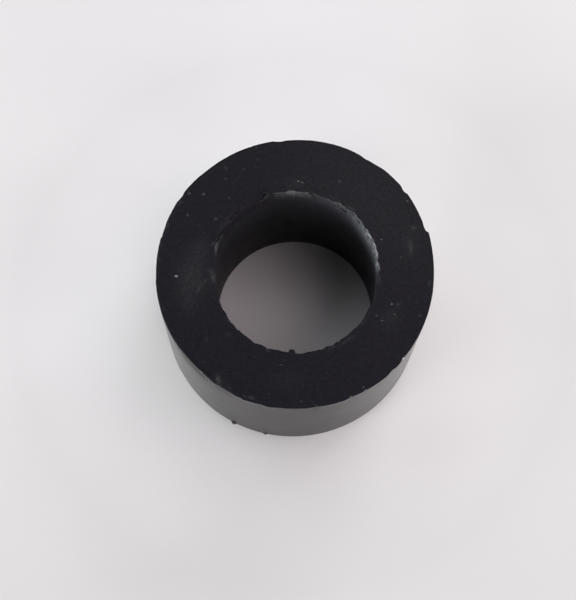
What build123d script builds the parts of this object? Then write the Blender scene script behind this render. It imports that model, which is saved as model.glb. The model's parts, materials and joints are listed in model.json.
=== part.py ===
from build123d import *
import os
from math import cos, exp, radians, sin

# Pump valve rubber: a short, thick-walled sleeve of moulded black rubber, cut to length with a knife.
# It stands on its foot face. The origin is the skin's centre on that face, with +Z up. The bore is
# parallel to +Z, a little off the skin's centre.
# Angles are in degrees, anticlockwise from +X seen from above. Lengths are in millimetres.

# Driving dimensions of the sleeve
outer_diameter = 10.0  # smooth moulded skin
bore_diameter = 5.8  # grips a valve stem of about 6 mm
bore_offset = 0.07  # how far the bore's axis stands from the skin's, towards +X
sleeve_height = 6.3  # from one cut end to the other
rim_round = 0.02  # radius that the knife leaves on both outer rims
foot_mouth_round = 0.05  # radius round the bore's lower mouth

# Torn lip round the bore's upper mouth: an uneven bevel, deeper where it is wider
lip_width = 0.1  # usual width on the top face
lip_least = 0.02  # width where the lip nearly closes
lip_reach = 1.0  # depth that a very wide tear would have down the bore
lip_bite = 0.06  # width at which a tear reaches half of that depth
lip_ripple = 0.006  # rise and fall of the width between one tooth and the next
lip_points = 90  # points of the lip's closed curve
lip_tears = (  # where it is wider or narrower: middle angle, half of the angle covered, added width
    (27.0, 17.0, 0.036),
    (62.0, 9.0, -0.045),
    (184.0, 14.0, -0.085),
    (262.0, 8.0, -0.035),
    (314.0, 8.0, -0.03),
    (351.0, 8.0, -0.07),
)
mouth_pit_radius = 0.08  # crumbs of rubber lost from the lip
mouth_pits = (43.0, 56.0, 112.0)  # angle of each lost crumb

# Flats that the knife left on the upper outer rim: angle, depth at the top face, height
rim_flats = (
    (23.0, 0.034, 0.25),
    (99.0, 0.055, 0.3),
    (118.0, 0.03, 0.25),
    (133.5, 0.045, 0.3),
    (149.5, 0.045, 0.25),
    (165.5, 0.05, 0.25),
    (226.5, 0.048, 0.3),
)

# Nicks in the upper outer rim: angle, radius on the top face, depth
rim_nicks = (
    (40.0, 0.05, 0.16),
    (61.4, 0.06, 0.16),
    (282.0, 0.05, 0.14),
    (303.0, 0.06, 0.16),
    (323.5, 0.06, 0.16),
)

# Tags of rubber left by the cut on the lower outer rim: angle, width, how far each stands out, height
foot_tags = (
    (246.0, 0.26, 0.1, 0.17),
    (261.0, 0.2, 0.06, 0.13),
)
tag_taper = 0.35  # size of a tag's top over the size of its base

# Values that follow from the driving dimensions
outer_radius = outer_diameter / 2
bore_radius = bore_diameter / 2
wall = outer_radius - bore_radius
beyond = wall / 10  # how far a cutting shape runs past the surface that it cuts


def polar(radius, angle, z=0.0):
    """Point at a radius and an angle in degrees round the skin's axis."""
    turn = radians(angle)
    return Vector(radius * cos(turn), radius * sin(turn), z)


def sleeve():
    """The plain sleeve: a cylinder with rounded rims, less the bore and the round of its lower mouth."""
    outside = Cylinder(outer_radius, sleeve_height, align=(Align.CENTER, Align.CENTER, Align.MIN))
    outside = fillet(outside.edges().filter_by(GeomType.CIRCLE), rim_round)
    bore = Cylinder(bore_radius, sleeve_height, align=(Align.CENTER, Align.CENTER, Align.MIN))
    drilled = outside - Pos(bore_offset, 0, 0) * bore
    foot_edges = drilled.edges().filter_by(GeomType.CIRCLE).group_by(Axis.Z)[0]
    return fillet(foot_edges.sort_by(SortBy.RADIUS)[0], foot_mouth_round)


def lip_width_at(angle):
    """Width of the torn lip on the top face: its usual width, fine teeth and the worst tears."""
    turn = radians(angle)
    teeth = sin(5 * turn + 0.6) + 0.8 * sin(11 * turn + 2.1) + 0.6 * sin(17 * turn)
    width = lip_width + lip_ripple * teeth
    for middle, half, added in lip_tears:
        away = (angle - middle + 180.0) % 360.0 - 180.0
        width += added * exp(-((away / half) ** 2))
    return max(width, lip_least)


def torn_lip():
    """What the torn lip removes: a cone with straight sides from a plain ring to a ragged one."""
    step = 360.0 / lip_points
    low_radius = bore_radius - lip_bite
    ragged = []
    for index in range(lip_points):
        angle = index * step
        at_face = bore_radius + lip_width_at(angle)
        # the sides run as far above the top face as below it
        ragged.append(polar(2 * at_face - low_radius, angle, sleeve_height + lip_reach))
    low_plane = Plane.XY.offset(sleeve_height - lip_reach)
    low_ring = Wire([Edge.make_circle(low_radius, low_plane)])
    high_ring = Wire([Edge.make_spline(ragged, periodic=True)])
    return Pos(bore_offset, 0, 0) * Solid.make_loft([low_ring, high_ring], ruled=True)


def mouth_pit(angle):
    """A lost crumb: a small ball centred on the edge between the lip and the top face."""
    centre = polar(bore_radius + lip_width_at(angle), angle, sleeve_height)
    return Pos(bore_offset, 0, 0) * Pos(centre) * Sphere(mouth_pit_radius)


def rim_flat(angle, depth, height):
    """What a flat removes: a wedge whose inner side leans out and meets the skin at the flat's foot."""
    top = sleeve_height + height
    inner = outer_radius - 2 * depth
    corners = [(outer_radius, sleeve_height - height), (outer_radius + beyond, top), (inner, top)]
    outline = Wire.make_polygon([Vector(x, 0, z) for x, z in corners])
    wedge = extrude(Face(outline), amount=outer_radius / 2, both=True)
    return Rot(0, 0, angle) * wedge


def rim_nick(angle, radius, depth):
    """A nick in the upper outer rim: a cone on its point, centred on the rim."""
    point = polar(outer_radius, angle, sleeve_height)
    cone = Cone(0.0, 2 * radius, 2 * depth)
    return Pos(point) * cone


def foot_tag(angle, width, proud, height):
    """A tag on the lower outer rim: a pointed flake that tapers up to its top."""
    root = outer_radius - proud
    corners = [(root, -width / 2), (outer_radius + proud, 0.0), (root, width / 2)]
    low = [Vector(x, y, 0) for x, y in corners]
    high = [Vector(root + (x - root) * tag_taper, y * tag_taper, height) for x, y in corners]
    flake = Solid.make_loft(
        [Wire.make_polygon(low), Wire.make_polygon(high)], ruled=True
    )
    return Rot(0, 0, angle) * flake


def valve_rubber():
    """The whole rubber: the sleeve with its torn lip, the flats and nicks of its rim, and its tags."""
    rubber = sleeve()
    rubber -= torn_lip()
    for angle in mouth_pits:
        rubber -= mouth_pit(angle)
    for angle, depth, height in rim_flats:
        rubber -= rim_flat(angle, depth, height)
    for angle, radius, depth in rim_nicks:
        rubber -= rim_nick(angle, radius, depth)
    for angle, width, proud, height in foot_tags:
        rubber += foot_tag(angle, width, proud, height)
    return rubber


os.makedirs("parts", exist_ok=True)
export_step(valve_rubber(), "parts/valve_rubber.step")
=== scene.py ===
"""Pump valve rubber: a short, thick-walled sleeve of black rubber, cut to length with a knife.

It stands on its foot face with +Z up along its bore. Angles are in degrees, anticlockwise from +X
seen from above. Lengths are in metres, most of them written as a number times MM.
"""
import itertools
import json
import math

import bpy
import numpy as np
from bpy.props import FloatProperty, FloatVectorProperty, IntProperty, PointerProperty
from bpy.types import Operator, Panel, PropertyGroup
from mathutils import Matrix, Vector


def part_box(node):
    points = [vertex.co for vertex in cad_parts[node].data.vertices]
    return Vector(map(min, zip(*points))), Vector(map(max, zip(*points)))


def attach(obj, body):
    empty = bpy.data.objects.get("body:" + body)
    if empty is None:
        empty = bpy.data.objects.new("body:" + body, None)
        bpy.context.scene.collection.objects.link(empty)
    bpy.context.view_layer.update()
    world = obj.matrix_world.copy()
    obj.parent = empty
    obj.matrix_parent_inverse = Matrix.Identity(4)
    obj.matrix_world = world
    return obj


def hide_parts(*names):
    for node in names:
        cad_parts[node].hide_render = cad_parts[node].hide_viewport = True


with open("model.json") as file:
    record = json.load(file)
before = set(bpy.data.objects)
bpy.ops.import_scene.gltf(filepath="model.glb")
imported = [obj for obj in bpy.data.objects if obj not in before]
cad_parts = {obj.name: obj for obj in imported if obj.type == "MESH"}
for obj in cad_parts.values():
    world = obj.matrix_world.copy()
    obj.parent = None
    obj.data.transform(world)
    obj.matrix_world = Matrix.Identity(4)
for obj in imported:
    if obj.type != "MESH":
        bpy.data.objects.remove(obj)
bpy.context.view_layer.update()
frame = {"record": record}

bl_info = {
    "name": "Pump Valve Rubber",
    "version": (1, 0, 0),
    "blender": (4, 5, 0),
    "location": "3D View > Sidebar > Pump Rubber",
    "description": "Builds the black rubber sleeve of a hand pump's valve head on a pale stage",
    "category": "Object",
}

MM = 0.001
NODE = "valve_rubber"
MOUNTS = {mount["name"]: mount for mount in frame["record"]["mounts"]}
OUTER_RADIUS = MOUNTS["outer_wall"]["dims"]["r_mm"] * MM
BORE_RADIUS = MOUNTS["bore"]["dims"]["r_mm"] * MM
BORE_OFFSET = MOUNTS["bore"]["pos_m"][0]
SLEEVE_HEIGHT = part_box(NODE)[1].z

# Faces along the section of each band of the wall, from one end of the band to the other
FOOT_FACE_ROWS = 8
FOOT_RIM_ROWS = 4
WALL_ROWS = (6, 8, 12)  # beside the foot tags, between, and below the upper rim
UPPER_RIM_ROWS = 6
TOP_FACE_ROWS = 44
LIP_ROWS = 32
BORE_ROWS = 26
FOOT_MOUTH_ROWS = 5

# Upper outer rim: the corners of the knife's uneven course, joined by nearly straight facets.
# Each is (angle, mm outside the skin); the burr ends in a step at 20.5 degrees.
RIM_CORNERS = (
    (2.0, 0.0), (11.0, 0.02), (20.0, 0.06), (21.0, -0.02), (23.0, -0.03), (25.0, -0.01), (28.0, 0.0),
    (38.5, 0.04), (39.5, 0.005), (41.5, 0.0), (43.0, 0.04), (53.0, 0.04), (57.0, 0.0), (62.5, -0.02),
    (64.5, 0.01), (69.0, 0.02), (74.0, 0.02), (86.0, -0.005), (97.0, -0.04), (98.5, -0.06),
    (101.0, -0.05), (102.5, -0.02), (118.0, -0.03), (130.0, -0.045), (136.0, -0.045), (138.0, -0.03),
    (146.5, -0.02), (148.5, -0.05), (150.5, -0.045), (152.0, -0.02), (161.5, -0.03), (163.0, -0.04),
    (168.5, -0.05), (169.5, -0.025), (186.0, -0.03), (188.0, -0.01), (208.0, -0.01), (218.0, -0.02),
    (221.0, -0.04), (232.0, -0.05), (238.0, -0.01), (241.0, -0.025), (246.0, -0.02), (248.0, 0.0),
    (251.0, 0.0), (252.0, 0.03), (253.5, 0.01), (257.0, 0.01), (259.0, -0.01), (261.5, 0.025),
    (264.0, 0.025), (267.0, 0.0), (280.0, 0.0), (282.0, -0.015), (284.0, 0.0), (290.0, 0.02),
    (294.0, 0.02), (297.0, -0.01), (302.0, 0.02), (303.0, -0.015), (304.5, 0.02), (314.0, 0.03),
    (317.0, -0.01), (319.0, 0.025), (321.5, 0.02), (323.5, -0.02), (326.0, 0.0),
)

# Nicks in that rim, sharp wedges: (middle angle, half of the angle covered, mm deep)
RIM_NICKS = (
    (40.3, 0.9, 0.014), (61.4, 1.2, 0.012), (99.4, 1.3, 0.012), (112.0, 0.8, 0.012),
    (157.0, 0.7, 0.012), (168.2, 0.8, 0.01), (303.0, 0.8, 0.012),
)

# Torn lip round the bore's mouth: (middle angle, half of the angle covered, mm outwards). The tears are
# smooth humps, and three narrow ones side by side make the round nub near 271 degrees. The teeth and
# the notches between them have straight sides.
LIP_TEARS = (
    (354.0, 9.0, -0.09), (27.0, 17.0, 0.035), (70.0, 8.0, -0.05), (184.0, 14.0, -0.085),
    (237.0, 5.0, -0.02), (262.5, 6.0, -0.035), (270.0, 0.8, -0.115), (271.3, 0.8, -0.115),
    (272.6, 0.8, -0.115), (314.0, 7.0, -0.03),
)
LIP_TEETH = (
    (4.5, 2.0, 0.045), (10.5, 2.2, -0.04), (16.0, 1.0, 0.02), (30.0, 4.0, -0.02), (36.0, 2.2, -0.05),
    (48.5, 2.8, 0.045), (60.5, 1.6, 0.035), (66.0, 1.4, -0.025), (90.0, 3.0, -0.02), (96.5, 3.4, 0.035),
    (102.0, 1.2, -0.01), (107.5, 2.2, 0.04), (112.5, 1.8, 0.05), (166.0, 4.2, 0.06),
    (214.5, 3.0, -0.045), (221.5, 1.1, 0.045), (225.0, 1.7, -0.03), (228.5, 1.0, 0.04),
    (231.5, 1.2, -0.04), (244.5, 1.6, 0.04), (250.5, 2.6, -0.03), (254.5, 1.1, 0.035),
    (277.5, 3.6, 0.04), (287.0, 3.0, -0.01), (292.0, 1.6, 0.02), (296.0, 1.5, -0.02),
    (300.0, 1.4, 0.015), (303.0, 1.1, -0.02), (307.0, 1.3, -0.025), (326.0, 1.8, 0.02),
    (330.5, 2.4, 0.04), (336.5, 2.2, -0.05),
)

# How pale the torn lip is, pale torn rubber with painted highlights where light glints on it: (angle,
# paleness from 0 to 1, mm down over which it fades)
LIP_PALENESS_AND_HIGHLIGHT = (
    (3.4, 0.08, 0.4), (4.8, 0.4, 0.45), (9.0, 0.66, 0.45), (14.0, 0.9, 0.42), (24.0, 0.95, 0.42),
    (32.0, 0.78, 0.5), (35.5, 0.25, 0.6), (50.0, 0.18, 0.6), (54.0, 0.1, 0.5), (60.0, 0.24, 0.45),
    (64.0, 0.08, 0.45), (80.0, 0.06, 0.45), (84.0, 0.22, 0.35), (90.0, 0.28, 0.3), (98.0, 0.25, 0.3),
    (101.0, 0.12, 0.3), (106.0, 0.12, 0.25), (108.5, 0.0, 0.2), (155.5, 0.0, 0.15), (157.0, 0.3, 0.22),
    (159.0, 0.1, 0.2), (161.5, 0.14, 0.25), (163.5, 0.34, 0.35), (168.5, 0.3, 0.35), (171.5, 0.02, 0.2),
    (184.0, 0.02, 0.15), (186.5, 0.4, 0.15), (190.5, 0.28, 0.15), (193.0, 0.02, 0.1), (345.0, 0.0, 0.2),
)

# Soft scuffs of the lip and of the bore below it, with painted light that fades down the wall from the
# mouth: (middle angle, half of the angle covered, share at the top face, mm down over which it fades)
SCUFFS_AND_LIGHT = (
    (30.0, 16.0, 0.55, 1.2), (8.0, 8.0, 0.18, 0.9), (64.0, 15.0, 0.1, 0.8), (92.0, 11.0, 0.1, 0.45),
    (355.0, 12.0, 0.015, 4.0),
)

# Painted shade on the wall of the bore: (middle angle, half of the angle covered, share)
BORE_PAINTED_SHADE = ((103.0, 17.0, 0.75), (192.0, 14.0, 0.80))

# Creases in the top face beside the lip: (angle, mm deep, mm outside the mouth's edge)
CREASES = (
    (128.0, 0.0, 0.1), (130.0, 0.02, 0.11), (133.0, 0.0, 0.1), (136.0, 0.02, 0.09), (137.5, 0.08, 0.08),
    (140.5, 0.04, 0.07), (143.0, 0.07, 0.05), (145.0, 0.0, 0.05), (149.5, 0.0, 0.03),
    (151.0, 0.05, 0.02), (153.5, 0.05, 0.02), (156.0, 0.08, 0.04), (159.5, 0.07, 0.05),
    (162.0, 0.04, 0.03), (164.5, 0.0, 0.03),
)

# Pits where crumbs were lost: (angle, place, radius in mm). The place is 0 at the mouth's edge and 1
# at the foot of the lip; below 0 the pit is in the top face, that many mm outside the edge.
LIP_PITS = (
    (17.0, 1.35, 0.05), (24.0, 1.1, 0.04), (24.2, 0.8, 0.04), (24.6, 0.5, 0.04), (25.1, 0.22, 0.04),
    (29.6, 0.5, 0.045), (35.0, 0.3, 0.045), (42.4, 0.38, 0.05), (43.2, 0.36, 0.05), (54.8, 0.62, 0.055),
    (56.0, 0.61, 0.06), (57.4, 0.58, 0.055), (60.8, -0.03, 0.05), (62.0, -0.02, 0.04),
    (64.6, -0.02, 0.06), (79.0, 0.6, 0.045), (80.0, 0.38, 0.05), (81.6, 0.18, 0.05),
    (113.6, 0.02, 0.085), (115.2, 0.16, 0.055), (117.0, 0.14, 0.05), (119.0, 0.14, 0.045),
    (138.5, -0.03, 0.045), (143.5, -0.02, 0.045),
)

# The two tags on the lower outer rim: (angle, width, how far proud, height), all lengths in mm
FOOT_TAGS = ((246.0, 0.26, 0.1, 0.17), (261.0, 0.2, 0.06, 0.13))

# Grains of dust that stand out on the top face; those on the rim are painted glints of its chips:
# (angle, share of the outer radius, mm across, paleness). A paleness of 1 is the colour of dust and 2 is
# near white, for a painted glint.
GRAINS_AND_GLINTS = (
    (186, 0.85, 0.13, 1.0), (90.8, 0.677, 0.09, 0.5), (88.4, 0.669, 0.08, 0.36),
    (344, 0.735, 0.11, 0.3), (24, 0.67, 0.09, 0.3), (333, 0.72, 0.11, 0.25), (303, 0.975, 0.09, 0.26),
    (36, 0.975, 0.1, 0.28), (142, 0.875, 0.13, 0.18), (155, 0.88, 0.12, 0.09), (129, 0.855, 0.12, 0.09),
    (67.3, 0.75, 0.14, 0.11), (146, 0.96, 0.14, 0.14), (334, 0.67, 0.11, 0.14), (339, 0.78, 0.12, 0.1),
    (343, 0.95, 0.12, 0.1), (119, 0.85, 0.12, 0.04), (111, 0.885, 0.11, 0.03), (265, 0.695, 0.12, 0.08),
    (252, 0.977, 0.09, 0.1), (276, 0.95, 0.11, 0.03), (296.5, 0.995, 0.08, 0.45),
    (323.5, 1.0, 0.08, 1.6), (282, 0.985, 0.09, 0.08), (11, 0.775, 0.11, 0.09),
    (110, 0.975, 0.09, 0.12), (149, 0.69, 0.11, 0.07), (134, 0.725, 0.11, 0.09),
    (231.5, 0.992, 0.09, 0.6),
)

# Fainter grains scattered between them: how many, the seed of their places, and the ranges of their
# share of the outer radius, mm across and paleness
FAINT_GRAINS = 60
FAINT_SEED = 11
FAINT_PLACES = (0.63, 0.975)
FAINT_SIZES = (0.04, 0.09)
FAINT_PALENESS = (0.005, 0.03)

# Smears of dust and pale scuffs on the top face, and painted glints of chips along the rim from 152 to
# 178 degrees: (angle, share of the outer radius, length in mm, width in mm, turn in degrees from +X,
# share of dust at the middle)
SMEARS = (
    (50, 0.8, 7.0, 4.0, 140, 0.018), (187, 0.74, 1.4, 1.0, 100, 0.04), (200, 0.8, 0.8, 0.6, 110, 0.022),
    (171, 0.7, 0.9, 0.7, 80, 0.026), (18, 0.85, 0.7, 0.5, 100, 0.016), (336, 0.76, 0.9, 0.7, 60, 0.018),
    (93, 0.66, 0.7, 0.35, 0, 0.02), (240, 0.955, 0.6, 0.35, 140, 0.016), (270, 0.8, 1.2, 0.6, 0, 0.01),
    (164, 0.618, 0.16, 0.1, 45, 0.06), (187, 0.59, 0.4, 0.14, 97, 0.1),
    (358, 0.605, 0.45, 0.12, 88, 0.05), (51, 0.63, 0.18, 0.09, 160, 0.09),
    (54, 0.62, 0.16, 0.08, 150, 0.06), (66, 0.615, 0.3, 0.12, 160, 0.03),
    (183, 0.61, 0.15, 0.12, 0, 0.06), (190, 0.645, 0.18, 0.1, 43, 0.05),
    (194, 0.695, 0.38, 0.11, 74, 0.045), (193, 0.805, 0.22, 0.11, 44, 0.035),
    (228, 0.665, 0.24, 0.11, 31, 0.03), (222, 0.805, 0.22, 0.12, 101, 0.035),
    (239, 0.96, 0.3, 0.1, 112, 0.15), (245, 0.97, 0.2, 0.08, 150, 0.05),
    (310, 0.63, 0.55, 0.11, 40, 0.05), (299, 0.62, 0.3, 0.1, 29, 0.06),
    (325, 0.615, 0.25, 0.08, 55, 0.05), (255, 0.612, 0.2, 0.08, 165, 0.06),
    (255, 0.97, 0.2, 0.08, 166, 0.12), (15, 0.855, 0.42, 0.13, 99, 0.085),
    (24, 0.92, 0.2, 0.1, 177, 0.095), (345, 0.78, 0.16, 0.12, 26, 0.07),
    (358, 0.97, 0.18, 0.1, 92, 0.07), (126, 0.925, 0.18, 0.11, 129, 0.06),
    # painted glints of chips along the rim
    (152, 0.975, 0.14, 0.09, 62, 0.08), (163, 0.975, 0.18, 0.09, 75, 0.08),
    (172, 0.975, 0.12, 0.09, 82, 0.065), (178, 0.975, 0.14, 0.09, 88, 0.07),
    (200, 0.975, 0.14, 0.09, 110, 0.045),
)


# -------- sizes and colours a user may change


class RubberShape(PropertyGroup):
    """Sizes of the sleeve. Its radii, its height and the bore's offset start at what the frame says."""

    outer_radius: FloatProperty(
        name="Outer Radius", description="Radius of the moulded skin",
        default=OUTER_RADIUS, min=1 * MM, unit="LENGTH", precision=5)
    bore_radius: FloatProperty(
        name="Bore Radius", description="Radius of the hole that grips the valve stem",
        default=BORE_RADIUS, min=0.5 * MM, unit="LENGTH", precision=5)
    bore_offset: FloatProperty(
        name="Bore Offset", description="How far the hole's middle stands off the middle of the skin",
        default=BORE_OFFSET, min=0.0, unit="LENGTH", precision=6)
    bore_flare: FloatProperty(
        name="Bore Flare", description="How much the hole widens to either side, along X, at its foot",
        default=0.13 * MM, min=0.0, unit="LENGTH", precision=6)
    bore_lean: FloatProperty(
        name="Bore Lean", description="How much further off it stands at the foot than at the top",
        default=0.06 * MM, min=0.0, unit="LENGTH", precision=6)
    height: FloatProperty(
        name="Height", description="Length of the sleeve from one cut end to the other",
        default=SLEEVE_HEIGHT, min=1 * MM, unit="LENGTH", precision=5)
    rim_round: FloatProperty(
        name="Rim Round", description="Radius that the knife leaves on the outer rims",
        default=0.02 * MM, min=0.0, unit="LENGTH", precision=6)
    mouth_round: FloatProperty(
        name="Foot Mouth Round", description="Radius round the lower end of the bore",
        default=0.05 * MM, min=0.0, unit="LENGTH", precision=6)
    lip_width: FloatProperty(
        name="Lip Width", description="Usual width of the torn lip, seen from above",
        default=0.10 * MM, min=0.0, unit="LENGTH", precision=6)
    lip_reach: FloatProperty(
        name="Lip Reach", description="Depth that a very wide tear would have down the bore",
        default=1.00 * MM, min=0.0, unit="LENGTH", precision=6)
    lip_bite: FloatProperty(
        name="Lip Bite", description="Lip width at which a tear reaches half of that depth",
        default=0.06 * MM, min=0.001 * MM, unit="LENGTH", precision=6)
    lip_relief: FloatProperty(
        name="Lip Relief", description="Height of the torn grain on the lip",
        default=0.016 * MM, min=0.0, unit="LENGTH", precision=6)
    cut_relief: FloatProperty(
        name="Cut Relief", description="Depth of the knife's drag and grain on the cut ends",
        default=0.006 * MM, min=0.0, unit="LENGTH", precision=6)
    skin_wave: FloatProperty(
        name="Skin Wave", description="How far the moulded skin wavers from a true cylinder",
        default=0.001 * MM, min=0.0, unit="LENGTH", precision=6)
    columns: IntProperty(
        name="Columns", description="Faces round the sleeve", default=650, min=60, max=660)


class RubberFinish(PropertyGroup):
    """Colours of the rubber's surfaces and of the dust on them."""

    cut: FloatVectorProperty(
        name="Cut Face", description="Knife-cut ends", subtype="COLOR",
        default=(0.0021, 0.0019, 0.0040), min=0.0, max=1.0)
    skin: FloatVectorProperty(
        name="Moulded Skin", description="Outer wall", subtype="COLOR",
        default=(0.0069, 0.0060, 0.0062), min=0.0, max=1.0)
    bore: FloatVectorProperty(
        name="Bore Wall", description="Wall of the hole", subtype="COLOR",
        default=(0.0108, 0.0107, 0.0165), min=0.0, max=1.0)
    # pale torn rubber, also the colour of the painted highlights on the lip
    torn: FloatVectorProperty(
        name="Torn Lip", description="Torn rubber round the bore's mouth", subtype="COLOR",
        default=(0.186, 0.190, 0.198), min=0.0, max=1.0)
    hollow: FloatVectorProperty(
        name="Torn Hollow", description="Darkest rubber of the torn lip", subtype="COLOR",
        default=(0.0081, 0.0071, 0.0110), min=0.0, max=1.0)
    # scuffs, and the painted light on the bore's wall below the lip
    scuffed_and_lit: FloatVectorProperty(
        name="Scuffed Bore", description="Scuffs on the lip and on the wall below it", subtype="COLOR",
        default=(0.155, 0.176, 0.184), min=0.0, max=1.0)
    # dust, also the base of the painted glints on the rim
    dust: FloatVectorProperty(
        name="Dust", description="Palest grains on the top face", subtype="COLOR",
        default=(0.225, 0.227, 0.222), min=0.0, max=1.0)


class StageSettings(PropertyGroup):
    """The pale floor, the soft lamps and the camera."""

    floor: FloatVectorProperty(
        name="Floor", description="Colour of the floor", subtype="COLOR",
        default=(0.80, 0.79, 0.79), min=0.0, max=1.0)
    light: FloatProperty(
        name="Light", description="Strength of all lamps and of the sky; 1 shows colours as written",
        default=1.0, min=0.0)
    camera_distance: FloatProperty(
        name="Camera Distance", description="From the middle of the foot to the lens",
        default=61.3 * MM, min=10 * MM, unit="LENGTH")
    camera_height_angle: FloatProperty(
        name="Camera Angle", description="Angle of the lens above the floor",
        default=math.radians(76.5), subtype="ANGLE")
    camera_roll: FloatProperty(
        name="Camera Roll", description="Turn of the camera about its line of sight",
        default=math.radians(2.52), subtype="ANGLE")
    lens: FloatProperty(
        name="Lens", description="Focal length in millimetres on a 36 mm sensor",
        default=92.35, min=10.0)


# -------- shapes, as whole arrays

FLAT_FALL = 0.45 * MM  # how far down the wall the rim's flats fade out
BURR_FALL = 0.15 * MM  # how far down the wall its burrs and nicks fade out
CHIP_WIDTH = 0.07 * MM  # half width of the chips on the top face beside a nick
CREASE_WIDTH = 0.022 * MM  # half width of a crease
SAG_DEPTH = 0.07 * MM  # how far the bent part of the mouth's edge sags
SAG_WIDTH = 0.36 * MM  # how far from that edge the top face begins to sag
LIP_ROUNDNESS = 0.25  # 0 for a straight bevel, 1 for a rounded edge
SMEAR_DEPTH = 0.1 * MM  # how far below the top face a smear fades out
GRAIN_SINK = 0.004 * MM  # how far a grain's middle lies below the top face
GRAIN_DENT = 0.28  # depth of a grain's dents as a share of its radius
GRAIN_FLATNESS = 0.35  # height of a grain as a share of its width


def away(angle, middle):
    """Signed angle in degrees from middle to angle, between -180 and 180."""
    return (angle - middle + 180.0) % 360.0 - 180.0


def hump(angle, middle, half):
    """One at the middle angle, falling off as exp(-(distance / half) squared)."""
    return np.exp(-((away(angle, middle) / half) ** 2))


def smooth(value, low, high):
    """Zero below low, one above high, and 3 t^2 - 2 t^3 between them."""
    t = np.clip((value - low) / (high - low), 0.0, 1.0)
    return t * t * (3.0 - 2.0 * t)


def humps(angle, table):
    """Sum of humps (middle, half, height in mm) round the sleeve, in metres."""
    total = np.zeros_like(angle)
    for middle, half, tall in table:
        total += tall * MM * hump(angle, middle, half)
    return total


def ripple(angle, waves):
    """Sum of sines (waves round the sleeve, phase in radians, size), a closed curve."""
    turn = np.radians(angle)
    total = np.zeros_like(angle)
    for count, phase, size in waves:
        total += size * np.sin(count * turn + phase)
    return total


def lattice_value(x, y, z):
    """A fixed value from -1 to 1 for each whole-number point: the sum of its three numbers, each times a
    large odd number, with its bits mixed and kept to 32."""
    bits = (x * 374761393 + y * 668265263 + z * 1442695041) & 0xFFFFFFFF
    bits = ((bits ^ (bits >> 13)) * 1274126177) & 0xFFFFFFFF
    bits = bits ^ (bits >> 16)
    return bits / 0x7FFFFFFF - 1.0


def grain(points, cell):
    """Value noise from -1 to 1: fixed values on a lattice of cubic cells, blended by 3 t^2 - 2 t^3."""
    scaled = points / cell
    corner = np.floor(scaled).astype(np.int64)
    t = scaled - corner
    t = t * t * (3.0 - 2.0 * t)
    total = np.zeros(points.shape[:-1])
    for step in itertools.product((0, 1), repeat=3):
        share = np.prod(np.where(np.array(step) == 1, t, 1.0 - t), axis=-1)
        x, y, z = np.moveaxis(corner + np.array(step), -1, 0)
        total += share * lattice_value(x, y, z)
    return total


def ring_points(radius, height, angle):
    """Points at a radius and height for each angle: (r cos a, r sin a, h)."""
    turn = np.radians(angle)
    radius, height, turn = np.broadcast_arrays(radius, height, turn)
    return np.stack([radius * np.cos(turn), radius * np.sin(turn), height], axis=-1)


def steps(count, power=1.0):
    """A column of count values from 0 up to just under 1, raised to a power that crowds them at 0."""
    return ((np.arange(count) / count) ** power)[:, None]


def rim_course(angle):
    """How far the knife's course runs outside the skin: straight facets between the corners."""
    corner, outwards = np.array(RIM_CORNERS).T
    return np.interp(angle, corner, outwards * MM, period=360.0)


def rim_notches(angle):
    """The rim's sharp nicks, with a fine serration that is strongest from 140 to 175 degrees."""
    fine = 0.0022 * MM * ripple(angle, ((43, 0.4, 0.5), (71, 1.9, 0.4), (113, 0.7, 0.3)))
    total = fine * (1.0 + 1.6 * hump(angle, 157.0, 17.0))
    for middle, half, deep in RIM_NICKS:
        total -= deep * MM * np.clip(1.0 - np.abs(away(angle, middle)) / half, 0.0, 1.0)
    return total


def bore_edge(shape, angle, height):
    """Radius of the bore: a circle with its middle off towards +X by the offset and a share of the
    lean, and wider at its foot by the flare times the square of the angle's cosine."""
    up = height / shape.height
    off = shape.bore_offset + shape.bore_lean * (0.5 - up)
    across = np.cos(np.radians(angle))
    return shape.bore_radius + off * across + shape.bore_flare * (1.0 - up) * across**2


def mouth_radius(shape, angle):
    """Radius of the ragged edge where the top face meets the lip: bore + usual width + tears + teeth."""
    fine = ripple(angle, ((31, 2.2, 0.5), (53, 1.1, 0.5), (89, 0.2, 0.45)))
    fine *= 0.007 * MM * (0.8 + 0.7 * hump(angle, 315.0, 18.0) + 0.5 * hump(angle, 30.0, 28.0))
    edge = bore_edge(shape, angle, shape.height) + shape.lip_width + humps(angle, LIP_TEARS)
    for middle, half, outwards in LIP_TEETH:
        edge = edge + outwards * MM * np.clip(1.3 - np.abs(away(angle, middle)) / half, 0.0, 1.0)
    return edge + fine


def lip_depth(shape, width):
    """How far down the bore a lip of that width reaches: reach * width / (width + bite)."""
    width = np.maximum(width, 0.01 * MM)
    return shape.lip_reach * width / (width + shape.lip_bite)


def flap_sag(angle):
    """How far the edge of the mouth sags, from 112 to 160 degrees, where it is bent and not torn."""
    return SAG_DEPTH * smooth(angle, 112.0, 117.0) * (1.0 - smooth(angle, 148.0, 160.0))


def foot_face(shape, angle):
    """The lower cut end: flat at height 0, hollowed upwards by the cut relief."""
    inner = bore_edge(shape, angle, 0.0) + shape.mouth_round
    outer = shape.outer_radius - shape.rim_round
    across = steps(FOOT_FACE_ROWS)
    radius = inner + (outer - inner) * across
    hollow = shape.cut_relief * (0.5 + 0.5 * grain(ring_points(radius, 0.0, angle), 0.3 * MM))
    return radius, hollow * np.sin(np.pi * across)


def foot_rim(shape, angle):
    """The lower outer rim: a quarter circle of the rim round, from the foot face to the skin."""
    turn = 0.5 * np.pi * steps(FOOT_RIM_ROWS)
    radius = shape.outer_radius - shape.rim_round * (1.0 - np.sin(turn))
    height = shape.rim_round * (1.0 - np.cos(turn))
    return radius, height


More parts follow.
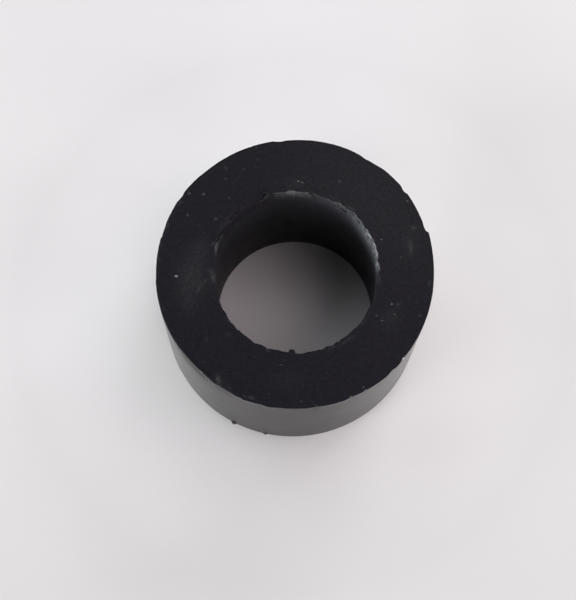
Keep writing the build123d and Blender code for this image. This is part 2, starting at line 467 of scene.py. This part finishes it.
def foot_tags(shape, angle, height):
    """How far the foot tags push the wall out: each a pyramid, proud * (1 - |across|) * (1 - up)."""
    total = np.zeros(np.broadcast(angle, height).shape)
    for middle, width, proud, tall in FOOT_TAGS:
        across = np.abs(np.radians(away(angle, middle))) * shape.outer_radius / (0.5 * width * MM)
        up = height / (tall * MM)
        total += proud * MM * np.clip(1.0 - across, 0.0, 1.0) * np.clip(1.0 - up, 0.0, 1.0)
    return total


def outer_wall(shape, angle):
    """The skin: a cylinder with slow waves, tags at its foot and the rim's departure at its top, which
    fades as exp(-(distance below the rim / fall) squared)."""
    low, high = shape.rim_round, shape.height - shape.rim_round
    above_tags, below_rim = low + 0.30 * MM, high - 0.70 * MM
    foot_rows, middle_rows, rim_rows = WALL_ROWS
    height = np.concatenate([
        low + (above_tags - low) * steps(foot_rows),
        above_tags + (below_rim - above_tags) * steps(middle_rows),
        below_rim + (high - below_rim) * (1.0 - (1.0 - steps(rim_rows)) ** 1.5),
    ])
    wave = grain(ring_points(shape.outer_radius, height, angle), 1.6 * MM) * shape.skin_wave
    radius = shape.outer_radius + wave * np.sin(np.pi * height / shape.height)
    below, course = high - height, rim_course(angle)
    radius += np.minimum(course, 0.0) * np.exp(-((below / FLAT_FALL) ** 2))
    radius += (np.maximum(course, 0.0) + rim_notches(angle)) * np.exp(-((below / BURR_FALL) ** 2))
    return radius + foot_tags(shape, angle, height), height


def upper_rim(shape, angle):
    """The upper outer rim: a quarter circle of the rim round, carried out by the rim's departure."""
    turn = 0.5 * np.pi * steps(UPPER_RIM_ROWS)
    radius = shape.outer_radius - shape.rim_round * (1.0 - np.cos(turn))
    height = shape.height - shape.rim_round * (1.0 - np.sin(turn))
    return radius + rim_course(angle) + rim_notches(angle), height


def top_face(shape, angle):
    """The upper cut end: flat, less the cut relief, chips below the rim nicks, creases and the sag."""
    outer = shape.outer_radius - shape.rim_round + rim_course(angle) + rim_notches(angle)
    mouth = mouth_radius(shape, angle)
    across = 1.0 - (1.0 - steps(TOP_FACE_ROWS)) ** 1.35
    radius = outer + (mouth - outer) * across
    at = ring_points(radius, shape.height, angle)
    relief = 0.5 + 0.3 * grain(at, 0.45 * MM) + 0.2 * grain(at, 0.12 * MM)
    dip = np.maximum(0.0, shape.outer_radius - shape.rim_round - outer)
    chips = 0.5 * dip * np.exp(-(((outer - radius) / CHIP_WIDTH) ** 2))
    corner, deep, outside = np.array(CREASES).T
    beside = radius - mouth - MM * np.interp(angle, corner, outside)
    creases = MM * np.interp(angle, corner, deep) * np.exp(-((beside / CREASE_WIDTH) ** 2))
    sag = flap_sag(angle) * np.clip(1.0 - (radius - mouth) / SAG_WIDTH, 0.0, 1.0) ** 2
    fade = smooth(across, 0.0, 0.04) * (1.0 - smooth(across, 0.97, 1.0))
    return radius, shape.height - shape.cut_relief * relief * fade - chips - creases - sag


def lip_surface(shape, angle, along):
    """Radius and height of the lip from its edge at 0 to its foot at 1: between a straight bevel and a
    quarter of an ellipse. Below 0 it is the top face, that many mm outside the edge."""
    width = mouth_radius(shape, angle) - bore_edge(shape, angle, shape.height)
    depth, sag = lip_depth(shape, width), flap_sag(angle)
    straight, outside = np.maximum(along, 0.0), MM * np.maximum(-along, 0.0)
    turn = 0.5 * np.pi * straight
    inward = (1.0 - LIP_ROUNDNESS) * straight + LIP_ROUNDNESS * np.sin(turn)
    down = (1.0 - LIP_ROUNDNESS) * straight + LIP_ROUNDNESS * (1.0 - np.cos(turn))
    height = shape.height - sag - (depth - sag) * down
    return bore_edge(shape, angle, height) + width * (1.0 - inward) + outside, height


def torn_lip(shape, angle):
    """The torn lip, roughened by grain of two sizes."""
    along = steps(LIP_ROWS)
    radius, height = lip_surface(shape, angle, along)
    at = ring_points(radius, height, angle)
    rough = 0.6 * grain(at, 0.13 * MM) + 0.4 * grain(at, 0.055 * MM)
    rough = shape.lip_relief * rough * np.sin(np.pi * along) ** 0.5
    return radius + rough, height + 0.7 * rough


def bore_wall(shape, angle):
    """The hole's wall, from the end of the lip down: a cylinder with slow waves."""
    width = mouth_radius(shape, angle) - bore_edge(shape, angle, shape.height)
    top = shape.height - lip_depth(shape, width)
    height = top - (top - shape.mouth_round) * steps(BORE_ROWS, 1.5)
    wave = grain(ring_points(shape.bore_radius, height, angle), 1.1 * MM) * shape.skin_wave
    fade = smooth(top - height, 0.0, 0.3 * MM)
    return bore_edge(shape, angle, height) + wave * fade, height


def foot_mouth(shape, angle):
    """The lower end of the bore: a quarter circle of its round, back to the foot face."""
    turn = 0.5 * np.pi * steps(FOOT_MOUTH_ROWS)
    height = shape.mouth_round * (1.0 - np.sin(turn))
    return bore_edge(shape, angle, height) + shape.mouth_round * (1.0 - np.cos(turn)), height


def lost_crumbs(shape, points):
    """For each lost crumb, moves points down and outwards by 1.6 times its radius times
    exp(-(distance / radius) squared). Gives the moved points and how far each is in a pit, 0 to 1."""
    turn = np.arctan2(points[..., 1], points[..., 0])
    outwards = np.stack([np.cos(turn), np.sin(turn), 0.0 * turn - 1.0], axis=-1) / math.sqrt(2.0)
    pitted = np.zeros(turn.shape)
    for angle, along, radius in LIP_PITS:
        middle = ring_points(*lip_surface(shape, np.array(angle), np.array(along)), angle)
        near = np.exp(-((np.linalg.norm(points - middle, axis=-1) / (radius * MM)) ** 2))
        points = points + outwards * (1.6 * radius * MM * near)[..., None]
        pitted = np.maximum(pitted, near)
    return points, pitted


# Each band of the wall's closed section, in order round it, with its finish
BANDS = (
    (foot_face, "knife_cut_rubber"),
    (foot_rim, "moulded_skin"),
    (outer_wall, "moulded_skin"),
    (upper_rim, "knife_cut_rubber"),
    (top_face, "knife_cut_rubber"),
    (torn_lip, "torn_rubber"),
    (bore_wall, "bore_skin"),
    (foot_mouth, "bore_skin"),
)


def closed_grid(name, points):
    """Mesh of a grid of points[row, column] that closes both ways: the last row and the last column
    join the first."""
    rows, columns = points.shape[:2]
    here = np.arange(rows * columns).reshape(rows, columns)
    beside = np.roll(here, -1, axis=1)
    faces = np.stack([here, beside, np.roll(beside, -1, axis=0), np.roll(here, -1, axis=0)], axis=-1)
    mesh = bpy.data.meshes.new(name)
    mesh.from_pydata(points.reshape(-1, 3), [], faces.reshape(-1, 4))
    mesh.shade_smooth()
    return mesh


def put_attribute(mesh, name, values):
    """Stores one number for each vertex under a name that materials can read."""
    attribute = mesh.attributes.new(name, "FLOAT", "POINT")
    attribute.data.foreach_set("value", np.asarray(values, np.float32).ravel())


def scuffed_and_lit(angle, depth):
    """Soft scuffs and painted light: for each, its share times its hump round the bore times exp(-(depth
    / fading) squared), all added up."""
    total = np.zeros_like(depth)
    for middle, half, share, fading in SCUFFS_AND_LIGHT:
        total += share * hump(angle, middle, half) * np.exp(-((depth / (fading * MM)) ** 2))
    return total


def painted_bore_shade(angle):
    """Painted shade on the bore's wall: the sum of its humps round the bore."""
    return sum(share * hump(angle, middle, half) for middle, half, share in BORE_PAINTED_SHADE)


def paleness(angle, depth):
    """Paleness of torn rubber and painted highlight: by angle as in the table, times exp(-(depth /
    fading depth) squared).
    """
    corner, pale, fading = np.array(LIP_PALENESS_AND_HIGHLIGHT).T
    pale = np.interp(angle, corner, pale, period=360.0)
    fading = np.interp(angle, corner, fading, period=360.0) * MM
    return pale * np.exp(-((depth / fading) ** 2))


def dusted_and_glinting(shape, points):
    """Share of dust, and of painted glints on the rim, on the top face: for each smear, its share times
    exp(-(along / half length) squared - (across / half width) squared - (depth / fading depth) squared),
    all added up."""
    total = np.zeros(points.shape[:-1])
    for angle, share, length, width, turn, strength in SMEARS:
        middle = ring_points(share * shape.outer_radius, shape.height, angle)
        x, y, z = np.moveaxis(points - middle, -1, 0)
        cosine, sine = math.cos(math.radians(turn)), math.sin(math.radians(turn))
        along = (x * cosine + y * sine) / (0.5 * length * MM)
        across = (y * cosine - x * sine) / (0.5 * width * MM)
        total += strength * np.exp(-(along**2) - across**2 - (z / SMEAR_DEPTH) ** 2)
    return total


def sleeve_mesh(shape):
    """The whole sleeve: every band at every angle, stacked into one closed grid, and its finishes."""
    angle = np.arange(shape.columns)[None, :] * (360.0 / shape.columns)
    bands = [np.broadcast_arrays(*band(shape, angle), angle)[:2] for band, finish in BANDS]
    radius = np.concatenate([band[0] for band in bands])
    height = np.concatenate([band[1] for band in bands])
    points, pitted = lost_crumbs(shape, ring_points(radius, height, angle))
    mesh = closed_grid("pump_valve_rubber", points)
    finishes = list(dict.fromkeys(finish for band, finish in BANDS))
    row_finish = [finishes.index(finish) for band, finish in BANDS]
    row_finish = np.repeat(row_finish, [len(band[0]) for band in bands])
    face_finish = np.repeat(row_finish[:, None], shape.columns, axis=1)
    on_tag = (foot_tags(shape, angle, height) > 0.0) & (radius > shape.outer_radius)
    face_finish[on_tag] = finishes.index("torn_rubber")
    mesh.polygons.foreach_set("material_index", face_finish.astype(np.int32).ravel())
    depth = shape.height - height
    # Marks read by the finishes: scuffs with painted light, pale torn rubber with painted highlight,
    # painted shade on the bore and in the pits, and dust with painted glints on the rim
    put_attribute(mesh, "scuffed_and_lit", scuffed_and_lit(angle, depth))
    put_attribute(mesh, "paleness", paleness(angle, depth))
    put_attribute(mesh, "painted_bore_shade", np.broadcast_to(painted_bore_shade(angle), depth.shape))
    put_attribute(mesh, "pitted", np.minimum(1.0, 1.5 * pitted))
    put_attribute(mesh, "dusted_and_glinting", dusted_and_glinting(shape, points))
    return mesh, finishes


def unit_ball(rings, sides):
    """Vertices, four-sided faces and three-sided faces of a small closed ball with a point at each pole:
    (sin t cos a, sin t sin a, cos t)."""
    tilt = np.pi * (np.arange(rings) + 1.0) / (rings + 1.0)
    turn = 2.0 * np.pi * np.arange(sides) / sides
    tilt, turn = np.meshgrid(tilt, turn, indexing="ij")
    ring = np.stack([np.sin(tilt) * np.cos(turn), np.sin(tilt) * np.sin(turn), np.cos(tilt)], axis=-1)
    vertices = np.concatenate([[[0.0, 0.0, 1.0]], ring.reshape(-1, 3), [[0.0, 0.0, -1.0]]])
    here = 1 + np.arange(rings * sides).reshape(rings, sides)
    beside = np.roll(here, -1, axis=1)
    quads = np.stack([here[:-1], here[1:], beside[1:], beside[:-1]], axis=-1).reshape(-1, 4)
    first, last = np.zeros(sides, int), np.full(sides, len(vertices) - 1)
    top_fan = np.column_stack([first, here[0], beside[0]])
    bottom_fan = np.column_stack([last, beside[-1], here[-1]])
    return vertices, quads, np.concatenate([top_fan, bottom_fan])


def grain_mesh(shape):
    """The listed grains, with painted glints of chips on the rim among them, and a seeded scatter of
    fainter ones, each a flattened and dented ball half sunk in the top face."""
    rng = np.random.default_rng(FAINT_SEED)
    inner, outer = FAINT_PLACES
    share = np.sqrt(rng.uniform(inner**2, outer**2, FAINT_GRAINS))
    around = rng.uniform(0.0, 360.0, FAINT_GRAINS)
    sizes = rng.uniform(*FAINT_SIZES, FAINT_GRAINS)
    faint = np.column_stack([around, share, sizes, rng.uniform(*FAINT_PALENESS, FAINT_GRAINS)])
    angle, share, across, pale = np.concatenate([np.array(GRAINS_AND_GLINTS), faint]).T
    ball, quads, fans = unit_ball(4, 7)
    centre = ring_points(share * shape.outer_radius, shape.height - GRAIN_SINK, angle)[:, None]
    narrow = across * rng.uniform(0.6, 1.0, len(across))
    size = 0.5 * MM * np.column_stack([across, narrow, GRAIN_FLATNESS * across])[:, None]
    dented = ball * (1.0 + GRAIN_DENT * grain(ball + 7.0 * centre / MM, 0.9))[..., None]
    points = dented * size + centre
    first = len(ball) * np.arange(len(points))[:, None, None]
    faces = (quads + first).reshape(-1, 4).tolist() + (fans + first).reshape(-1, 3).tolist()
    mesh = bpy.data.meshes.new("dust_and_glint_grains")
    mesh.from_pydata(points.reshape(-1, 3), [], faces)
    mesh.shade_smooth()
    put_attribute(mesh, "pale", np.repeat(pale, len(ball)))
    return mesh


# -------- finishes


def fill(tree, node, inputs):
    """Links each input of a node that is given a socket, and sets each that is given a value."""
    for name, value in inputs.items():
        if isinstance(value, bpy.types.NodeSocket):
            tree.links.new(value, node.inputs[name])
        else:
            node.inputs[name].default_value = value


def add_node(tree, kind, inputs, **settings):
    """A node with those inputs, linked or set, and those settings."""
    node = tree.nodes.new(kind)
    for name, value in settings.items():
        setattr(node, name, value)
    fill(tree, node, inputs)
    return node


def new_finish(name):
    """A material with its node tree, its shader and its object coordinates."""
    material = bpy.data.materials.new(name)
    material.use_nodes = True
    tree = material.node_tree
    place = tree.nodes.new("ShaderNodeTexCoord").outputs["Object"]
    return material, tree, tree.nodes["Principled BSDF"], place


def stored(tree, name):
    """What the mesh stores for each vertex under that name."""
    return add_node(tree, "ShaderNodeAttribute", {}, attribute_name=name).outputs["Fac"]


def noise(tree, place, cell, detail=3.0, rough=0.55):
    """Blender's noise with its coarsest grains one cell, given in metres, across."""
    inputs = {"Vector": place, "Scale": 1.0 / cell, "Detail": detail, "Roughness": rough}
    return add_node(tree, "ShaderNodeTexNoise", inputs).outputs["Fac"]


def spread(tree, value, low, high, to_low, to_high):
    """A value mapped from low..high to to_low..to_high, and clamped."""
    inputs = {"Value": value, "From Min": low, "From Max": high, "To Min": to_low, "To Max": to_high}
    return add_node(tree, "ShaderNodeMapRange", inputs).outputs["Result"]


def mixed(tree, share, first, second):
    """A colour between two colours or sockets by a share from 0 to 1."""
    # sockets 0, 6 and 7 are the factor and the two colours, and output 2 is the mixed colour
    return add_node(tree, "ShaderNodeMix", {0: share, 6: first, 7: second}, data_type="RGBA").outputs[2]


def reckoned(tree, operation, first, second):
    """One number from two numbers or sockets."""
    return add_node(tree, "ShaderNodeMath", {0: first, 1: second}, operation=operation).outputs[0]


def shade(colour, factor):
    """A colour made darker or paler by a factor, with full alpha."""
    return (*[min(1.0, channel * factor) for channel in colour], 1.0)


def bump(tree, height, distance):
    """A normal from a height in units of distance, in metres."""
    return add_node(tree, "ShaderNodeBump", {"Height": height, "Distance": distance}).outputs["Normal"]


def knife_cut_rubber(colours):
    """Dull, faintly mottled rubber with smears of fine dust, painted glints of chips along the rim, and
    the fine grain that a knife leaves.
    """
    material, tree, shader, place = new_finish("knife_cut_rubber")
    clouds = noise(tree, place, 0.7 * MM, 4.0, 0.65)
    base = mixed(tree, spread(tree, clouds, 0.35, 0.65, 0.0, 1.0),
                 shade(colours.cut, 0.4), shade(colours.cut, 0.9))
    speckle = spread(tree, noise(tree, place, 0.14 * MM, 3.0, 0.7), 0.38, 0.62, 0.0, 0.8)
    base = mixed(tree, speckle, base, shade(colours.cut, 2.6))
    patchy = spread(tree, noise(tree, place, 0.09 * MM, 3.0, 0.6), 0.35, 0.65, 0.4, 1.6)
    # dust, and painted glints of chips along the rim
    share = reckoned(tree, "MULTIPLY", stored(tree, "dusted_and_glinting"), patchy)
    fill(tree, shader, {
        "Base Color": mixed(tree, share, base, shade(colours.dust, 1.0)),
        "Roughness": spread(tree, clouds, 0.3, 0.7, 0.46, 0.36),
        "Specular IOR Level": 0.172,
        "Normal": bump(tree, noise(tree, place, 0.09 * MM, 3.0, 0.6), 0.004 * MM),
    })
    return material


def moulded_skin(colours):
    """Smooth skin with the soft gloss of the mould, a little cloudy."""
    material, tree, shader, place = new_finish("moulded_skin")
    clouds = noise(tree, place, 0.9 * MM, 3.0, 0.5)
    fill(tree, shader, {
        "Base Color": mixed(tree, clouds, shade(colours.skin, 0.85), shade(colours.skin, 1.15)),
        "Roughness": spread(tree, clouds, 0.3, 0.7, 0.14, 0.18),
        "Specular IOR Level": 0.0225,
        "Coat Weight": 0.0545,
        "Coat Roughness": 0.35,
    })
    return material


def bore_skin(colours):
    """Dull skin of the hole: painted shade on its darker stretches and in its pits, and paler below the
    lip with scuffs, painted light, pale torn rubber and painted highlights.
    """
    material, tree, shader, place = new_finish("bore_skin")
    clouds = noise(tree, place, 0.5 * MM, 4.0, 0.6)
    colour = mixed(tree, spread(tree, clouds, 0.35, 0.65, 0.0, 1.0),
                   shade(colours.bore, 0.85), shade(colours.bore, 1.15))
    # painted shade on the bore's wall
    colour = mixed(tree, stored(tree, "painted_bore_shade"), colour, shade(colours.bore, 0.25))
    # scuffs, and painted light that fades down the wall from the mouth
    colour = mixed(tree, stored(tree, "scuffed_and_lit"), colour, shade(colours.scuffed_and_lit, 1.0))
    # pale torn rubber and painted highlight, fading down the wall
    colour = mixed(tree, stored(tree, "paleness"), colour, shade(colours.torn, 1.0))
    fill(tree, shader, {
        # painted shade: near black in the pits
        "Base Color": mixed(tree, stored(tree, "pitted"), colour, shade(colours.cut, 0.4)),
        "Roughness": spread(tree, clouds, 0.3, 0.7, 0.50, 0.62),
        "Specular IOR Level": 0.37,
        "Normal": bump(tree, noise(tree, place, 0.12 * MM, 3.0, 0.5), 0.004 * MM),
    })
    return material


def torn_rubber(colours):
    """Granular rubber of the torn lip: dark where plain, pale torn rubber with painted highlights, paler
    with scuffs and painted light, and painted shade in its pits.
    """
    material, tree, shader, place = new_finish("torn_rubber")
    crumbs = noise(tree, place, 0.16 * MM, 3.0, 0.65)
    torn = mixed(tree, spread(tree, crumbs, 0.40, 0.60, 0.0, 1.0),
                 shade(colours.torn, 0.3), shade(colours.torn, 1.7))
    # scuffs with painted light on the plain rubber
    plain = mixed(tree, stored(tree, "scuffed_and_lit"), shade(colours.hollow, 1.0), shade(colours.scuffed_and_lit, 1.0))
    pit = stored(tree, "pitted")
    # pale torn rubber and painted highlight
    colour = mixed(tree, stored(tree, "paleness"), plain, torn)
    fill(tree, shader, {
        # painted shade: near black in the pits
        "Base Color": mixed(tree, pit, colour, shade(colours.cut, 0.4)),
        "Roughness": reckoned(tree, "MAXIMUM", spread(tree, crumbs, 0.3, 0.7, 0.62, 0.46), pit),
        "Specular IOR Level": 0.30,
        "Normal": bump(tree, noise(tree, place, 0.06 * MM, 3.0, 0.6), 0.014 * MM),
    })
    return material


def pale_dust_and_glint(colours):
    """Dull dust and crumbs, from near black to pale by each grain's paleness, and near white at 2 for
    the painted glints of chips on the rim. The faintest are as glossy as the cut rubber."""
    material, tree, shader, place = new_finish("pale_dust_and_glint")
    pale = stored(tree, "pale")
    colour = mixed(tree, pale, shade(colours.cut, 1.5), shade(colours.dust, 1.0))
    # painted glints: from a paleness of 1 to 2 the colour runs to near white
    colour = mixed(tree, spread(tree, pale, 1.0, 2.0, 0.0, 1.0), colour, shade(colours.dust, 3.5))
    patchy = spread(tree, noise(tree, place, 0.05 * MM), 0.35, 0.65, 0.0, 0.4)
    fill(tree, shader, {
        "Base Color": mixed(tree, patchy, colour, shade(colours.cut, 1.5)),
        "Roughness": spread(tree, pale, 0.03, 0.15, 0.42, 0.9),
        "Specular IOR Level": 0.19,
    })
    return material


# Very faint painted light and shade on the floor, which even out the lamps' soft shadows: (x, y and
# radius in outer radii, change of its colour at the middle)
FLOOR_PAINTED_LIGHT_AND_SHADE = (
    (-0.3, 0.2, 0.8, 0.11), (-0.5, 2.5, 1.2, 0.08), (-2.5, 2.3, 1.3, -0.07), (1.4, 2.6, 1.2, -0.06),
    (-1.6, 0.5, 1.1, -0.1), (1.3, 0.8, 0.8, -0.06), (2.3, 0.9, 1.1, 0.07), (-1.4, -1.9, 1.3, 0.11),
    (0.3, -1.5, 1.2, -0.08), (1.9, -1.2, 1.0, 0.03), (-0.6, -1.1, 0.8, -0.06), (1.1, -0.9, 0.6, -0.05),
    (-1.7, 0.6, 0.8, 0.03),
)


def pale_table(settings):
    """Pale floor with very faint painted light and shade, which fade by 3 t^2 - 2 t^3 and even out the
    lamps' soft shadows. It is painted a shade paler round the sleeve, darker away from the sleeve and in
    front of it, and a shade paler behind it."""
    material, tree, shader, place = new_finish("pale_table")
    clouds = noise(tree, place, 12.0 * MM, 2.0, 0.5)
    colour = mixed(tree, clouds, shade(settings.floor, 0.985), shade(settings.floor, 1.015))
    far = add_node(tree, "ShaderNodeVectorMath", {"Vector": place}, operation="LENGTH").outputs["Value"]
    beyond = add_node(tree, "ShaderNodeSeparateXYZ", {"Vector": place}).outputs["Y"]
    # Painted light and shade: paler round the sleeve against its soft shadow, darker away from it and in
    # front of it, paler behind it
    # where it changes: socket, from and to in outer radii, share before and after, change of colour
    for where, low, high, to_low, to_high, change in (
            (far, 0.7, 0.9, 0.0, 1.0, 1.07), (far, 1.2, 2.2, 0.0, 1.0, 0.85),
            (beyond, 1.0, 2.2, 0.0, 0.2, 1.22), (beyond, -2.2, -1.2, 0.5, 0.0, 0.78)):
        share = spread(tree, where, low * OUTER_RADIUS, high * OUTER_RADIUS, to_low, to_high)
        colour = mixed(tree, share, colour, shade(settings.floor, change))
    gain = 1.0
    # painted light and shade that even out the lamps' soft shadows
    for x, y, radius, change in FLOOR_PAINTED_LIGHT_AND_SHADE:
        middle = (x * OUTER_RADIUS, y * OUTER_RADIUS, 0.0)
        gap = add_node(tree, "ShaderNodeVectorMath", {0: place, 1: middle}, operation="DISTANCE")
        edges = {"From Max": radius * OUTER_RADIUS, "To Min": change, "To Max": 0.0}
        inputs = {"Value": gap.outputs["Value"], **edges}
        painted_light_and_shade = add_node(tree, "ShaderNodeMapRange", inputs, interpolation_type="SMOOTHSTEP")
        gain = reckoned(tree, "ADD", gain, painted_light_and_shade.outputs["Result"])
    scaled = add_node(tree, "ShaderNodeVectorMath", {0: colour, "Scale": gain}, operation="SCALE")
    fill(tree, shader, {"Base Color": scaled.outputs["Vector"], "Roughness": 0.8})
    return material


# -------- stage

FLOOR_REACH = 2.0  # half of the floor's side, in metres
FLOOR_GAP = 0.002 * MM  # how far the floor lies below the foot, so that the two never share a plane
HORIZON = (0.80, 0.80, 0.80, 1.0)
OVERHEAD = (0.050, 0.050, 0.054, 1.0)
HORIZON_TOP, OVERHEAD_START = 0.42, 0.66  # sines of the height angles between which the sky darkens
AIM = Vector((-0.2 * MM, 0.48 * MM, 0.0))  # what the camera looks at

# Soft lamps: name, azimuth and height angle in degrees, side in metres, strength, colour.
# A strength of 1 lights a floor square to the lamp fully. Each lamp hangs LAMP_DISTANCE away.
LAMP_DISTANCE = 0.5
LAMPS = (
    ("lamp_back", 60.0, 23.0, 0.32, 0.625, (0.96, 0.98, 1.0)),
    ("lamp_right", 10.0, 60.0, 0.36, 0.305, (1.0, 0.88, 0.91)),
    ("lamp_left", 212.0, 8.0, 0.24, 0.89, (0.95, 0.97, 1.0)),
    ("lamp_front", 285.0, 15.0, 0.32, 0.68, (1.0, 0.95, 0.93)),
    ("lamp_above", 115.0, 60.0, 0.32, 0.12, (0.975, 0.97, 1.0)),
    ("lamp_back_left", 150.0, 40.0, 0.32, 0.27, (0.89, 0.96, 1.0)),
)


def direction(azimuth, height_angle):
    """Unit vector at an azimuth anticlockwise from +X and an angle above the floor, both in degrees."""
    flat = math.cos(math.radians(height_angle))
    turn = math.radians(azimuth)
    return Vector((flat * math.cos(turn), flat * math.sin(turn), math.sin(math.radians(height_angle))))


def add_lamp(name, azimuth, height_angle, side, strength, colour, light):
    """A square area lamp aimed at the middle of the sleeve."""
    lamp = bpy.data.lights.new(name, "AREA")
    lamp.size = side
    lamp.color = colour
    # radiant flux that gives an irradiance of strength * pi at the lamp's distance
    lamp.energy = light * strength * math.pi * math.pi * LAMP_DISTANCE**2
    holder = bpy.data.objects.new(name, lamp)
    towards = direction(azimuth, height_angle)
    holder.location = towards * LAMP_DISTANCE
    holder.rotation_euler = towards.to_track_quat("Z", "Y").to_euler()
    holder.visible_camera = False
    bpy.context.collection.objects.link(holder)


def add_sky(light):
    """Grey sky, pale near the horizon and dark overhead."""
    world = bpy.data.worlds.new("soft_room")
    world.use_nodes = True
    tree = world.node_tree
    place = tree.nodes.new("ShaderNodeTexCoord").outputs["Generated"]
    up = add_node(tree, "ShaderNodeSeparateXYZ", {"Vector": place}).outputs["Z"]
    share = spread(tree, up, HORIZON_TOP, OVERHEAD_START, 0.0, 1.0)
    colour = mixed(tree, share, HORIZON, OVERHEAD)
    sky = tree.nodes["Background"]
    tree.links.new(colour, sky.inputs["Color"])
    sky.inputs["Strength"].default_value = light
    bpy.context.scene.world = world


def add_floor(settings):
    """A wide square floor just under the sleeve's foot."""
    signs = ((-1, -1), (1, -1), (1, 1), (-1, 1))
    corners = [(x * FLOOR_REACH, y * FLOOR_REACH, -FLOOR_GAP) for x, y in signs]
    mesh = bpy.data.meshes.new("floor")
    mesh.from_pydata(corners, [], [(0, 1, 2, 3)])
    mesh.materials.append(pale_table(settings))
    floor = bpy.data.objects.new("floor", mesh)
    bpy.context.collection.objects.link(floor)


def add_camera(settings):
    """A camera in front of the sleeve and high above it, aimed a little past the middle of its foot."""
    back = direction(-90.0, math.degrees(settings.camera_height_angle))
    eye = back * settings.camera_distance
    ahead = (AIM - eye).normalized()
    side = ahead.cross(Vector((0.0, 0.0, 1.0))).normalized()
    above = side.cross(ahead)
    cosine, sine = math.cos(settings.camera_roll), math.sin(settings.camera_roll)
    axes = (side * cosine + above * sine, above * cosine - side * sine, -ahead)
    lens = bpy.data.cameras.new("camera")
    lens.lens = settings.lens
    lens.clip_start, lens.clip_end = 1 * MM, 10.0
    camera = bpy.data.objects.new("camera", lens)
    turn = Matrix(axes).transposed().to_4x4()
    camera.matrix_world = Matrix.Translation(eye) @ turn
    bpy.context.collection.objects.link(camera)
    bpy.context.scene.camera = camera


# -------- operators and panel

FINISHES = {make.__name__: make for make in (knife_cut_rubber, moulded_skin, torn_rubber, bore_skin)}


def add_piece(name, mesh, materials):
    """Links a finished mesh as an object at the origin that rides on the sleeve's body."""
    for material in materials:
        mesh.materials.append(material)
    piece = bpy.data.objects.new(name, mesh)
    bpy.context.collection.objects.link(piece)
    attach(piece, "root")
    return piece


class OBJECT_OT_valve_rubber_add(Operator):
    """Adds the rubber sleeve with its cut ends, moulded skin and torn lip"""

    bl_idname = "object.valve_rubber_add"
    bl_label = "Add Valve Rubber"

    def execute(self, context):
        scene = context.scene
        mesh, finishes = sleeve_mesh(scene.rubber_shape)
        materials = [FINISHES[name](scene.rubber_finish) for name in finishes]
        piece = add_piece("pump_valve_rubber", mesh, materials)
        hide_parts(NODE)
        return {"FINISHED"}


class OBJECT_OT_rubber_dust_add(Operator):
    """Adds the dust and crumbs that lie on the upper cut face, with painted glints of chips on its rim
    """

    bl_idname = "object.rubber_dust_add"
    bl_label = "Add Dust Grains"

    def execute(self, context):
        scene = context.scene
        add_piece("dust_and_glint_grains", grain_mesh(scene.rubber_shape), [pale_dust_and_glint(scene.rubber_finish)])
        return {"FINISHED"}


class SCENE_OT_rubber_stage_add(Operator):
    """Adds the pale floor, the soft lamps, the sky and the camera"""

    bl_idname = "scene.rubber_stage_add"
    bl_label = "Add Stage"

    def execute(self, context):
        settings = context.scene.rubber_stage
        add_floor(settings)
        add_sky(settings.light)
        for lamp in LAMPS:
            add_lamp(*lamp, settings.light)
        add_camera(settings)
        context.scene.view_settings.view_transform = "Standard"
        return {"FINISHED"}


class VIEW3D_PT_pump_rubber(Panel):
    """Sizes, colours and buttons of the pump valve rubber"""

    bl_label = "Pump Valve Rubber"
    bl_space_type = "VIEW_3D"
    bl_region_type = "UI"
    bl_category = "Pump Rubber"

    def draw(self, context):
        scene = context.scene
        for group in (scene.rubber_shape, scene.rubber_finish, scene.rubber_stage):
            box = self.layout.box()
            for name in type(group).__annotations__:
                box.prop(group, name)
        for operator in OPERATORS:
            self.layout.operator(operator.bl_idname)


GROUPS = {"rubber_shape": RubberShape, "rubber_finish": RubberFinish, "rubber_stage": StageSettings}
OPERATORS = (OBJECT_OT_valve_rubber_add, OBJECT_OT_rubber_dust_add, SCENE_OT_rubber_stage_add)


def register():
    """Registers the classes and hangs the three groups of settings on the scene."""
    for kind in (*GROUPS.values(), *OPERATORS, VIEW3D_PT_pump_rubber):
        bpy.utils.register_class(kind)
    for name, group in GROUPS.items():
        setattr(bpy.types.Scene, name, PointerProperty(type=group))


def unregister():
    """Takes the settings off the scene and removes the classes, last first."""
    for name in GROUPS:
        delattr(bpy.types.Scene, name)
    for kind in (VIEW3D_PT_pump_rubber, *reversed(OPERATORS), *reversed(GROUPS.values())):
        bpy.utils.unregister_class(kind)


def main():
    """Builds every piece and the stage."""
    register()
    bpy.ops.object.valve_rubber_add()
    bpy.ops.object.rubber_dust_add()
    bpy.ops.scene.rubber_stage_add()


if __name__ == "__main__":
    main()
